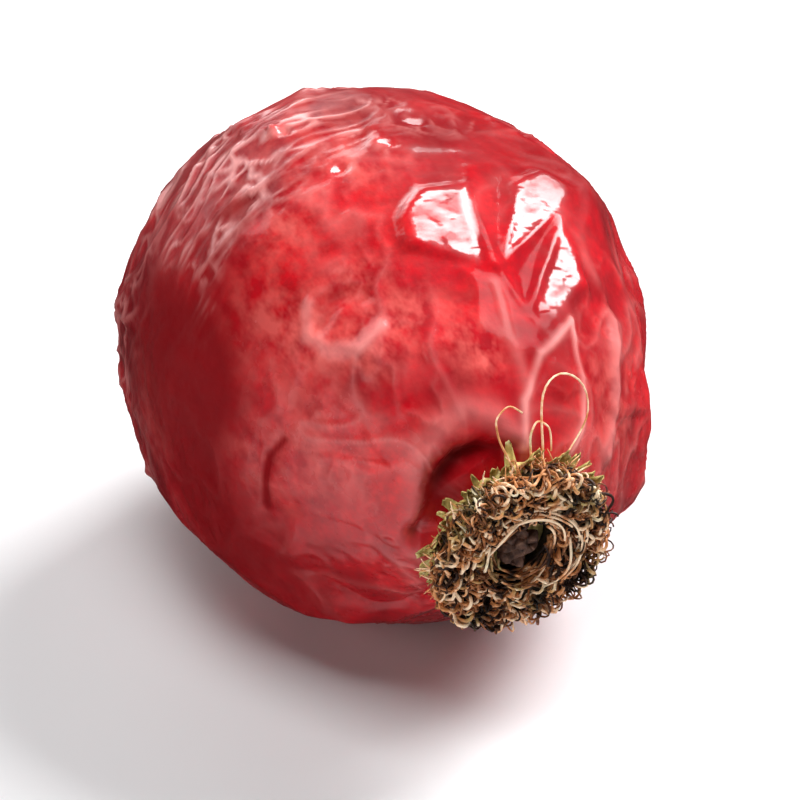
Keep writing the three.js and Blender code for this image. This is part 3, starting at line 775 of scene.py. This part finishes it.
def skin_colour(f):
    """Crimson, with thin layers of other tints, painted shade and painted highlight among them."""
    colour = f.ramp(f.noise(2.4, 4, 0.6), (0.30, (0.26, 0.001, 0.006)), (0.50, (0.56, 0.002, 0.010)),
                    (0.72, (0.78, 0.008, 0.014)))
    cloudy = f.span(f.noise(0.7, 3, 0.6, stretch=(1.6, 1, 1)), 0.38, 0.64)
    layers = [
        (f.span(f.noise(0.8, 4, 0.65, stretch=(1, 1.6, 1)), 0.54, 0.36, 0, 0.6), (0.27, 0.001, 0.004)),
        (f.span(f.noise(0.28, 3, 0.6), 0.38, 0.66, 0, 0.5), (0.34, 0.008, 0.014)),
        # painted shade: darker where the skin sinks, in creases and dents
        (f.span(f.attribute("hollow"), 0.5, 0.9, 0, 0.7), (0.11, 0.001, 0.005)),
        # painted shade: the crumpled half darker, showing in the gaps between its pale crests
        (f.span(f.attribute("crumple"), 0.3, 1.0, 0, 0.95), (0.17, 0.001, 0.005)),
        # pale bloom: partly the skin's own dusty bloom, partly a painted sheen
        (f.maths("MULTIPLY", f.maths("MULTIPLY", f.attribute("bloom_and_painted_sheen"), cloudy), 0.55), (0.86, 0.14, 0.12)),
        # pale crests: partly rubbed, partly a painted highlight
        (f.maths("MULTIPLY", f.attribute("ridge"), 0.88), (0.86, 0.31, 0.29)),
        # painted shade
        (f.span(f.attribute("shade"), 0.15, 1.1, 0, 0.92), (0.20, 0.0006, 0.003)),
    ]
    for share, tint in layers:
        colour = f.mix(share, colour, tint)
    return colour


def film_weight(f, streaks):
    """How much of the film is left: little where it is worn, matt, dark or between fine ridges."""
    on_flat, in_streaks = f.span(f.attribute("flat"), 0.93, 0.985), f.span(streaks, 0.44, 0.60, 0, MOST_WORN)
    worn = f.maths("MULTIPLY", on_flat, in_streaks)
    gap = f.maths("SUBTRACT", f.attribute("crumple"), f.attribute("ridge"))
    weight = f.span(worn, 0, 1, 1, 0)
    for left in (f.span(f.attribute("matt"), 0.15, 0.8, 1.0, 0.08), f.span(gap, 0.1, 0.7, 1.0, 0.15),
                 f.span(f.attribute("shade"), 0.2, 0.9, 1.0, 0.05)):
        weight = f.maths("MULTIPLY", weight, left)
    return weight


print("on the flat facets the film is worn off by", MOST_WORN, "at most")

# %% Finish the skin
def skin_finish():
    """The mottled skin with its soft haze, and the film over it."""
    f = Finish("dried_skin")
    streaks = f.noise(0.55, 2, 0.6, stretch=(1, 2.5, 1))
    film_roughness = f.maths("ADD", f.span(f.attribute("keen"), 0.1, 0.85, 0.24, 0.09),
                             f.span(f.noise(0.8, 3), 0.3, 0.7, 0, 0.08))
    roughness = f.maths("ADD", f.span(f.noise(1.1, 3), 0.3, 0.7, 0.34, 0.52),
                        f.span(f.attribute("matt"), 0.15, 0.8, 0, 0.4))
    ripples = f.maths("MULTIPLY", streaks, f.span(f.attribute("flat"), 0, 1, 0.3, 0.7))
    f.set(Coat_Roughness=0.15)  # the plain value that stays where a linked one can't be used
    f.set(Base_Color=skin_colour(f), Roughness=roughness, Specular_IOR_Level=0.1,
          Normal=f.bump(f.noise(0.22, 4, 0.6), 0.02, 0.6), Coat_Weight=film_weight(f, streaks),
          Coat_IOR=1.45, Coat_Roughness=film_roughness, Coat_Normal=f.bump(ripples, 0.08))
    return f.material


finished("skin", skin_mesh, skin_finish(), "fruit_wall")

# %% [markdown]
# ## The collar
#
# Under the stamens the five sepals of the flower broke off, and their dry papery feet are left as a
# ragged straw-coloured rim, frayed into strips. A low turned plate makes the rim. Each strip is a small
# grid that is laid outwards, narrows to a torn end and gets its thickness from solidify, and the strips
# of one sepal are about as long as each other. Beside the rolled lip the crown is pressed in a little, so
# the collar, the ring and the stamens pass through the same helper. The dry parts are matt and mottled, so
# one noise can give each of them its colour and its grain.

# %% Press the crown in, and tear a strip
LIP_PRESS, LIP_SIDE = 0.13, math.radians(-50)


def pressed(p):
    """p drawn in towards the axis on the side where the fruit's rolled lip presses on the crown."""
    turn = np.arctan2(p[..., 1], p[..., 2])
    share = 1 - LIP_PRESS * np.clip(np.cos(turn - LIP_SIDE), 0, 1) ** 2
    return np.stack([p[..., 0], p[..., 1] * share, p[..., 2] * share], -1)


def flap(bm, shape, across, along, thickness):
    """A thin closed flap: a grid whose corners are put where shape says, for u and v from 0 to 1."""
    corners = bmesh.ops.create_grid(bm, x_segments=across, y_segments=along, size=0.5)["verts"]
    faces = list({face for v in corners for face in v.link_faces})
    for v in corners:
        v.co = shape(v.co.x + 0.5, v.co.y + 0.5)
    bmesh.ops.solidify(bm, geom=faces, thickness=thickness)


def torn_strip(turn, root, tip, width, x, lean, k):
    """The shape of a strip that leaves the axis at turn, narrows and ends in a tear."""
    def shape(u, v):
        tear = 0.25 * (draw(round(6 * u), k) - 0.5) * v
        r = root + (tip - root) * (v + tear)
        wide = width * (1 - 0.45 * v ** 2) * (u - 0.5)
        curl = 0.12 * math.sin(5 * v + 3 * draw(k, 7)) + 0.25 * (u - 0.5) ** 2
        return about(x - lean * (r - root) + curl * v, math.hypot(r, wide), turn + math.atan2(wide, r))

    return shape


print("the lip presses the crown in by", LIP_PRESS, "of its radius")

# %% The collar and its frayed strips
COLLAR = {"start": 8.9, "thickness": 0.4, "radius": 2.35, "sides": 72}
SEPALS, STRIPS = 5, 11
STRIP_ROOT, STRIP_THICKNESS = 1.9, 0.06
start, rim = COLLAR["start"], COLLAR["radius"]
end = start + COLLAR["thickness"]
plate = [(start, 0), (start, rim - 0.15), (start + 0.15, rim), (end, rim - 0.1), (end, 0)]
bm = turned(plate, COLLAR["sides"])
for v in bm.verts:
    turn = math.atan2(v.co.y, v.co.z)
    ripple = 0.10 * math.sin(11 * turn) + 0.06 * math.sin(29 * turn)
    v.co.yz *= 1 + 0.35 * ripple * (Vector(v.co.yz).length > 1)
for n in range(SEPALS * STRIPS):
    turn = (n + 0.8 * (draw(n, 101) - 0.5)) / (SEPALS * STRIPS) * 2 * math.pi
    tip = 2.45 + 0.3 * draw(n // STRIPS, 102) + 0.25 * draw(n, 103)
    lean, width = 0.7 * (draw(n, 104) - 0.4), 0.22 + 0.18 * draw(n, 105)
    strip = torn_strip(turn, STRIP_ROOT, tip, width, start + 0.25, lean, n)
    flap(bm, strip, 4, 8, STRIP_THICKNESS)
collar_mesh = meshed(bm, "collar")
put_corners(collar_mesh, pressed(corners_of(collar_mesh)))
collar_mesh.transform(CALYX_LEAN)

# %% Finish the collar
def mottled_finish(name, blots, stops, roughness, depth):
    """A matt finish whose colour and bump come from one noise: its blots, colours and bump depth."""
    f = Finish(name)
    grain = f.noise(**blots)
    f.set(Base_Color=f.ramp(grain, *stops), Roughness=roughness, Normal=f.bump(grain, depth))
    return f.material


straw = mottled_finish("dry_straw", {"size": 0.16, "detail": 3, "roughness": 0.6, "stretch": (1, 1, 3)},
                       [(0.3, (0.28, 0.20, 0.05)), (0.55, (0.64, 0.51, 0.17)), (0.8, (0.90, 0.80, 0.44))],
                       roughness=0.75, depth=0.03)
finished("sepal_rim", collar_mesh, straw, "sepal_collar")

# %% [markdown]
# ## The mat under the stamens
#
# The feet of a hundred stamens dried into one dark felted ring. A ring is a closed section spun round
# the axis, and noise roughens it, so that no smooth plastic shows between the stamens on top of it.

# %% The felted ring
MAT = {"start": 9.4, "height": 0.6, "inner": 0.95, "outer": 2.35, "sides": 150}
mid, half = (MAT["outer"] + MAT["inner"]) / 2, (MAT["outer"] - MAT["inner"]) / 2


def mat_top(r):
    """How high the ring stands at r from the axis."""
    return MAT["start"] + MAT["height"] * np.clip(1 - ((r - mid) / half) ** 2, 0, 1) ** 0.3


arc = np.linspace(0, math.pi, 22)[:-1]
section = [(MAT["start"] + MAT["height"] * math.sin(a) ** 0.6, mid + half * math.cos(a)) for a in arc]
section += [(MAT["start"], mid - half), (MAT["start"], mid), section[0]]
mat_mesh = meshed(turned(section, MAT["sides"]), "mat")
felt = corners_of(mat_mesh)
share = np.clip((felt[:, 0] - MAT["start"]) / MAT["height"], 0, 1)
felt[:, 0] += share * (0.15 * noise(felt, 0.45, 141) + 0.08 * noise(felt, 0.2, 145))
felt[:, 1:] *= (1 + 0.06 * share * noise(felt, 0.5, 143))[:, None]
put_corners(mat_mesh, pressed(felt))
mat_mesh.transform(CALYX_LEAN)

felt_brown = mottled_finish("felted_feet", {"size": 0.14, "detail": 4, "roughness": 0.65},
                            [(0.35, (0.010, 0.006, 0.003)), (0.6, (0.045, 0.026, 0.010)),
                             (0.8, (0.13, 0.08, 0.03))], roughness=0.9, depth=0.06)
finished("stamen_mat", mat_mesh, felt_brown, "stamen_crown")

# %% [markdown]
# ## Fibres
#
# A dried stamen is a thread about a tenth of a millimetre thick. A curve with a round bevel makes one
# with no faces worked out by hand, and hundreds of them share one curve object, which becomes one mesh.
# Each fibre carries a tone, so that neighbours differ in colour as real ones do. The finish turns the
# tone into a brown, golden in some parts of the crown and olive in others.

# %% Fibres from curves
def fibres(name, paths, thickness, tones, tip=0.6):
    """A mesh of round fibres along paths of as many steps each, thinning to tip of their thickness."""
    curve = bpy.data.curves.new(name, "CURVE")
    curve.dimensions = "3D"
    curve.bevel_depth = 1
    curve.bevel_resolution = 1
    curve.use_fill_caps = True
    steps = len(paths[0])
    thinning = np.linspace(1, tip, steps)
    for path, thick in zip(paths, np.broadcast_to(thickness, len(paths))):
        spline = curve.splines.new("POLY")
        spline.points.add(steps - 1)
        spline.points.foreach_set("co", np.hstack([path, np.ones((steps, 1))]).ravel())
        spline.points.foreach_set("radius", thinning * thick / 2)
    holder = linked(name + "_curve", curve)
    bpy.context.view_layer.update()
    raw = bpy.data.meshes.new_from_object(holder.evaluated_get(bpy.context.evaluated_depsgraph_get()))
    put_attribute(raw, "tone", np.repeat(tones, len(raw.vertices) // len(paths)))
    bpy.data.objects.remove(holder)
    bpy.data.curves.remove(curve)
    bm = bmesh.new()
    bm.from_mesh(raw)
    bpy.data.meshes.remove(raw)
    mesh = meshed(bm, name)
    mesh.transform(CALYX_LEAN)
    return mesh


def filament_finish():
    """A brown for each fibre by its tone: a few patches darker, some golden and some olive."""
    f = Finish("dried_stamen")
    tone = f.maths("ADD", f.attribute("tone"), f.span(f.noise(0.25, 3), 0.3, 0.7, -0.2, 0.2))
    tone = f.maths("SUBTRACT", tone, f.span(f.noise(1.1, 2), 0.52, 0.64, 0, 0.4))
    golden = f.ramp(tone, (0.12, (0.030, 0.010, 0.005)), (0.42, (0.32, 0.10, 0.025)),
                    (0.72, (0.78, 0.33, 0.12)), (0.97, (1.0, 0.74, 0.50)))
    olive = f.ramp(tone, (0.12, (0.020, 0.016, 0.010)), (0.42, (0.14, 0.11, 0.035)),
                   (0.72, (0.48, 0.40, 0.14)), (0.97, (0.92, 0.84, 0.60)))
    colour = f.mix(f.span(f.noise(0.9, 3), 0.53, 0.70), golden, olive)
    f.set(Base_Color=colour, Roughness=0.55, Normal=f.bump(f.noise(0.06, 2), 0.01))
    return f.material


stamen_finish = filament_finish()

# %% [markdown]
# ## The stamens
#
# Each stamen leaves the ring upwards and curls as it dried, until it meets the others. A path that is
# walked step by step does that: its direction turns a little at each step, and it is nudged back when
# it would leave the crown, sink into the ring or close the hollow. All the paths are walked together, as
# rows of one array. They lie in two layers, a dense one of thin dark threads with a few thicker pale
# ones over it, because a crown in one tone looks like felt. The lower threads are darker partly as
# painted shade under the upper ones, and the upper ones paler partly as a painted highlight.

# %% Walk the stamens' paths
CROWN = {"inner": 1.15, "outer": 2.6, "top": 10.15}


def unit(v):
    """v brought to a length of 1."""
    return v / np.linalg.norm(v, axis=-1, keepdims=True)


def walk(begin, ahead, curl, steps, stride, k):
    """Paths that start at begin, go ahead, and turn about curl by its length in radians per mm."""
    p, d = begin.copy(), unit(ahead)
    path = [p.copy()]
    for _ in range(steps - 1):
        turn = np.cross(curl, d) + 2.4 * np.stack([noise(p, 0.4, k + n) for n in range(3)], 1)
        r = np.linalg.norm(p[:, 1:], axis=1, keepdims=True)
        out = np.hstack([0 * r, p[:, 1:] / r])
        up = np.array([[1.0, 0, 0]])
        inside = r < CROWN["outer"]
        nudge = 4.0 * (mat_top(r) + 0.05 > p[:, :1]) * up * inside
        nudge = nudge - 7.0 * (p[:, :1] > CROWN["top"]) * up - 6.0 * (r > CROWN["outer"]) * out
        nudge = nudge + 5.0 * (r < CROWN["inner"]) * out
        d = unit(d + stride * (turn + nudge))
        p = p + stride * d
        path.append(p.copy())
    return np.stack(path, 1)


print("the crown reaches from", CROWN["inner"], "to", CROWN["outer"], "mm round the axis")

# %% The stamens in two layers
def crown_paths(count, k, lift, curliness, steps=22, stride=0.10):
    """Paths that leave the ring all round, lift above it, and curl more or less."""
    i = np.arange(count)
    turn = (i + 0.9 * draw(i, k)) / count * 2 * math.pi
    r = 1.05 + 1.4 * np.sqrt(draw(i, k + 1))
    begin = about(mat_top(r) + lift, r, turn)
    out = about(0, 1, turn)
    side = np.stack([0 * turn, np.cos(turn), -np.sin(turn)], 1)
    outwards, sideways = 0.7 * (r - 1.6), 2 * draw(i, k + 2) - 1
    ahead = np.array([0.8, 0, 0]) + out * outwards[:, None] + side * sideways[:, None]
    curl = any_leans(count, k + 3, 1.0)
    curl = unit(curl) * (curliness * (1 + 1.8 * draw(i, k + 6)))[:, None]
    return walk(begin, ahead, curl, steps, stride, k)


under, over = np.arange(420), np.arange(120)
paths = np.vstack([crown_paths(len(under), 201, -0.12, 1.0), crown_paths(len(over), 251, 0.10, 0.5)])
# Each fibre's own tone, with the lower layer darker as painted shade and the upper paler as painted
# highlight.
tones = np.append(0.06 + 0.50 * draw(under, 207), 0.64 + 0.36 * draw(over, 257))
thick = np.append(0.055 + 0.05 * draw(under, 208) ** 2, 0.075 + 0.05 * draw(over, 258))
stamens_mesh = fibres("stamens", pressed(paths), thick, tones)
finished("stamens", stamens_mesh, stamen_finish, "stamen_crown")

# %% [markdown]
# ## Long strands, fringe and arcs
#
# A few stamens stayed long and lie loosely over the rest. At the rim short paler threads stick out over
# the skin. Round the hollow in the middle, threads lie along the edge in arcs, one above the other, as in
# a bird's nest, and a few of the palest bridge the top. All of them are paths from a short formula, for
# the same fibres as before.

# %% Long strands, fringe and arcs
def fringe_paths(count, k, steps=9):
    """Short paths that leave the rim outwards."""
    i = np.arange(count)
    turn = (i + 0.8 * draw(i, k)) / count * 2 * math.pi
    reach = 0.15 + 0.5 * draw(i, k + 1)
    t = np.linspace(0, 1, steps)
    r = 2.3 + reach[:, None] * t
    x = 9.2 + 0.5 * draw(i, k + 2)[:, None] + (0.5 * draw(i, k + 3)[:, None] - 0.35) * t ** 2
    swing = turn[:, None] + 0.35 * (draw(i, k + 4)[:, None] - 0.5) * t ** 2
    return about(x, r, swing)


def arc_paths(count, k, inner, low, spread, steps=16):
    """Paths along part of a ring, from inner outwards and from low upwards by spread."""
    i = np.arange(count)
    begin = 2 * math.pi * draw(i, k)
    length = math.radians(60) + math.radians(90) * draw(i, k + 1)
    t = np.linspace(0, 1, steps)
    turn = begin[:, None] + length[:, None] * t
    r = inner + 0.6 * draw(i, k + 2)[:, None] + 0.10 * np.sin(4 * t + 6 * draw(i, k + 3)[:, None])
    x = low + spread * draw(i, k + 4)[:, None] + 0.12 * np.sin(5 * t + 6 * draw(i, k + 5)[:, None])
    return about(x, r, turn)


STRANDS, FRINGE, ARCS, TOP_ARCS = 16, 150, 44, 9
strand_tones = 0.75 + 0.25 * draw(np.arange(STRANDS), 277)
strands = pressed(crown_paths(STRANDS, 271, 0.14, 0.3, steps=36))
finished("long_stamens", fibres("strands", strands, 0.10, strand_tones), stamen_finish)

fringe_tones = 0.55 + 0.45 * draw(np.arange(FRINGE), 221)
fringe_mesh = fibres("fringe", pressed(fringe_paths(FRINGE, 211)), 0.075, fringe_tones, 0.3)
finished("stamen_fringe", fringe_mesh, stamen_finish)

arc_tones = np.append(0.35 + 0.6 * draw(np.arange(ARCS), 241), np.full(TOP_ARCS, 1.1))
paths = np.vstack([arc_paths(ARCS, 231, 0.75, 9.6, 0.6), arc_paths(TOP_ARCS, 261, 1.2, 10.15, 0.15)])
arcs_mesh = fibres("arcs", pressed(paths), 0.085, arc_tones, 0.7)
finished("stamen_arcs", arcs_mesh, stamen_finish)

# %% [markdown]
# ## The styles
#
# In the middle of the hollow the styles stand close together as one short column, each with a knob, the
# stigma, on top. The column is turned, and each knob is a small ball that noise dents. The knobs stand
# in rings, as florists set a posy.

# %% Column and knobs
# Each ring of knobs as their count and how far they are from the axis.
STYLES = {"radius": 0.5, "height": 0.35, "sides": 40, "knob": 0.19, "rings": [(9, 0.43), (5, 0.2), (1, 0)]}
foot, top, edge = MAT["start"], MAT["start"] + STYLES["height"], STYLES["radius"]
bm = turned([(foot, 0), (foot, edge), (top, edge - 0.05), (top, 0)], STYLES["sides"])
for count, away in STYLES["rings"]:
    for n in range(count):
        turn = (n + 0.5 * draw(n, 123)) / count * 2 * math.pi
        centre = about(top + 0.12 * draw(n + count, 121), away, turn)
        knob = STYLES["knob"] * (0.75 + 0.5 * draw(n + count, 122))
        bmesh.ops.create_icosphere(bm, subdivisions=3, radius=knob, matrix=Matrix.Translation(Vector(centre)))
style_mesh = meshed(bm, "styles")
soft = corners_of(style_mesh)
soft += 0.08 * np.stack([noise(soft, 0.16, 151 + n) for n in range(3)], 1)
put_corners(style_mesh, soft)
style_mesh.transform(CALYX_LEAN)

style_brown = mottled_finish("dried_style", {"size": 0.15, "detail": 4, "roughness": 0.6},
                             [(0.3, (0.04, 0.015, 0.010)), (0.6, (0.14, 0.06, 0.035)),
                              (0.85, (0.34, 0.18, 0.11))], roughness=0.7, depth=0.04)
finished("style_column", style_mesh, style_brown, "style_tuft")

# %% [markdown]
# ## The stalk's scar
#
# At the other end the stalk tore off. What is left is a hollow stub whose skin peeled back in ragged
# yellow-brown flaps. The stub is turned and the flaps are torn strips, as at the collar. It is made
# along +X like the calyx, and the whole mesh is turned half round at the end.

# %% Stub and flaps
STUB = {"start": 7.8, "height": 0.6, "radius": 0.85, "sides": 48}
SCRAPS = {"count": 7, "root": 0.55, "width": 0.75, "lean": 0.2, "thickness": 0.07}
start, end, edge = STUB["start"], STUB["start"] + STUB["height"], STUB["radius"]
section = [(start, 0), (start, edge), (start + 0.3, edge - 0.1), (end, edge - 0.25),
           (end - 0.05, edge - 0.45), (start + 0.4, 0)]
bm = turned(section, STUB["sides"])
for v in bm.verts:
    v.co.x += 0.18 * (v.co.x - start) * math.sin(7 * math.atan2(v.co.y, v.co.z))
for n in range(SCRAPS["count"]):
    turn = (n + 0.6 * (draw(n, 131) - 0.5)) / SCRAPS["count"] * 2 * math.pi
    tip = 1.8 - 0.6 * draw(n, 132)
    scrap = torn_strip(turn, SCRAPS["root"], tip, SCRAPS["width"], start + 0.3, SCRAPS["lean"], n + 20)
    flap(bm, scrap, 6, 7, SCRAPS["thickness"])
stub_mesh = meshed(bm, "stub")
stub_mesh.transform(Matrix.Rotation(math.pi, 4, "Z"))

stalk_brown = mottled_finish("dried_stalk", {"size": 0.18, "detail": 4, "roughness": 0.6},
                             [(0.3, (0.10, 0.05, 0.015)), (0.55, (0.36, 0.22, 0.07)),
                              (0.8, (0.58, 0.42, 0.17))], roughness=0.75, depth=0.04)
finished("stalk_scar", stub_mesh, stalk_brown, "stalk_stub")

# %% [markdown]
# ## Loose filaments
#
# A few stamens came loose and lie over the skin beside the crown, one of them in a loop. Chance wouldn't
# lay them there, so their points are listed: place along the axis, angle round it, and height
# over the skin. Each corner of the path is then moved towards its neighbours, again and again, until the
# thread bends as softly as a real one.

# %% Loose filaments
def over_skin(points, steps=26):
    """A smooth path through points of x, angle and height over the plain outline."""
    finer, rounds = 4, 60
    along, fine_along = np.linspace(0, 1, len(points)), np.linspace(0, 1, steps * finer)
    dense = np.stack([np.interp(fine_along, along, values) for values in np.array(points, float).T], 1)
    for _ in range(rounds):
        dense[1:-1] = (dense[:-2] + 2 * dense[1:-1] + dense[2:]) / 4
    x, angle, high = dense[::finer].T
    return about(x, outline(x) + high, np.radians(angle))


loose = [
    [(9.2, 27, 0.3), (8.5, 21, 0.3), (7.9, 21, 0.35), (7.5, 29, 0.4), (7.55, 42, 0.4), (8.0, 51, 0.3),
     (8.5, 48, 0.2), (9.1, 40, 0.3)],
    [(9.2, 2, 0.4), (8.7, -4, 0.35), (8.3, -3, 0.3), (8.1, 5, 0.3), (8.3, 12, 0.3)],
    [(9.2, 16, 0.4), (8.7, 14, 0.35), (8.4, 19, 0.3), (8.5, 27, 0.3), (8.9, 31, 0.3)],
]
loose_mesh = fibres("loose", [over_skin(points) for points in loose], 0.07, [0.92, 0.8, 0.85], 0.7)
finished("loose_filaments", loose_mesh, stamen_finish)

# %% [markdown]
# ## Table and light
#
# The hip lies on a plain pale table. One large soft lamp stands high behind it on the right: it makes
# the white patches on the shoulder and the soft shadow in front. Dark glossy skin shows every lamp as a
# bright patch, though, and a table under it as a milky one. So the two lamps that fill the shadows, and
# the table itself, don't show in the gloss. Three more lamps show in nothing but the gloss: they lay a
# broad faint sheen on the folds that face them.

# %% Table and light
bm = bmesh.new()
bmesh.ops.create_grid(bm, x_segments=1, y_segments=1, size=1.5)
table_mesh = meshed(bm, "table")
paper = Finish("pale_table")
paper.set(Base_Color=(0.86, 0.86, 0.87, 1), Roughness=0.6)
table_mesh.materials.append(paper.material)
table = linked("table", table_mesh)
table.visible_glossy = False


def softbox(name, turn, rise, away, width, height, power):
    """A lamp that stands turn degrees round and rise degrees up, away metres off, and looks at the hip."""
    lamp = linked(name, bpy.data.lights.new(name, "AREA"))
    lamp.data.shape = "RECTANGLE"
    lamp.data.size, lamp.data.size_y, lamp.data.energy = width, height, power
    direction = towards(math.radians(turn), math.radians(rise))
    lamp.location = direction * away + Vector((0, 0, AXIS_HEIGHT * MM))
    lamp.rotation_euler = facing(direction)
    return lamp


# Name, turn, rise, distance, width, height and power.
softbox("key", 199, 43, 0.5, 0.24, 0.24, 4.1)
FILLS = [("top_fill", 40, 78, 0.6, 0.35, 0.35, 2.3), ("front_fill", 20, 20, 0.6, 0.4, 0.4, 0.9)]
for row in FILLS:
    softbox(*row).visible_glossy = False
SHEENS = [("front_sheen", 24, -18, 0.6, 0.66, 0.95, 2.3), ("back_sheen", 285, 26, 0.6, 0.5, 0.5, 1.2),
          ("top_sheen", 260, 20, 0.6, 0.32, 0.32, 1.0)]
for row in SHEENS:
    softbox(*row).visible_diffuse = False
world = bpy.data.worlds.new("studio")
bpy.context.scene.world = world
world.use_nodes = True
world.node_tree.nodes["Background"].inputs["Color"].default_value = (1, 1, 1, 1)
world.node_tree.nodes["Background"].inputs["Strength"].default_value = 0.03
bpy.context.scene.view_settings.view_transform = "Standard"
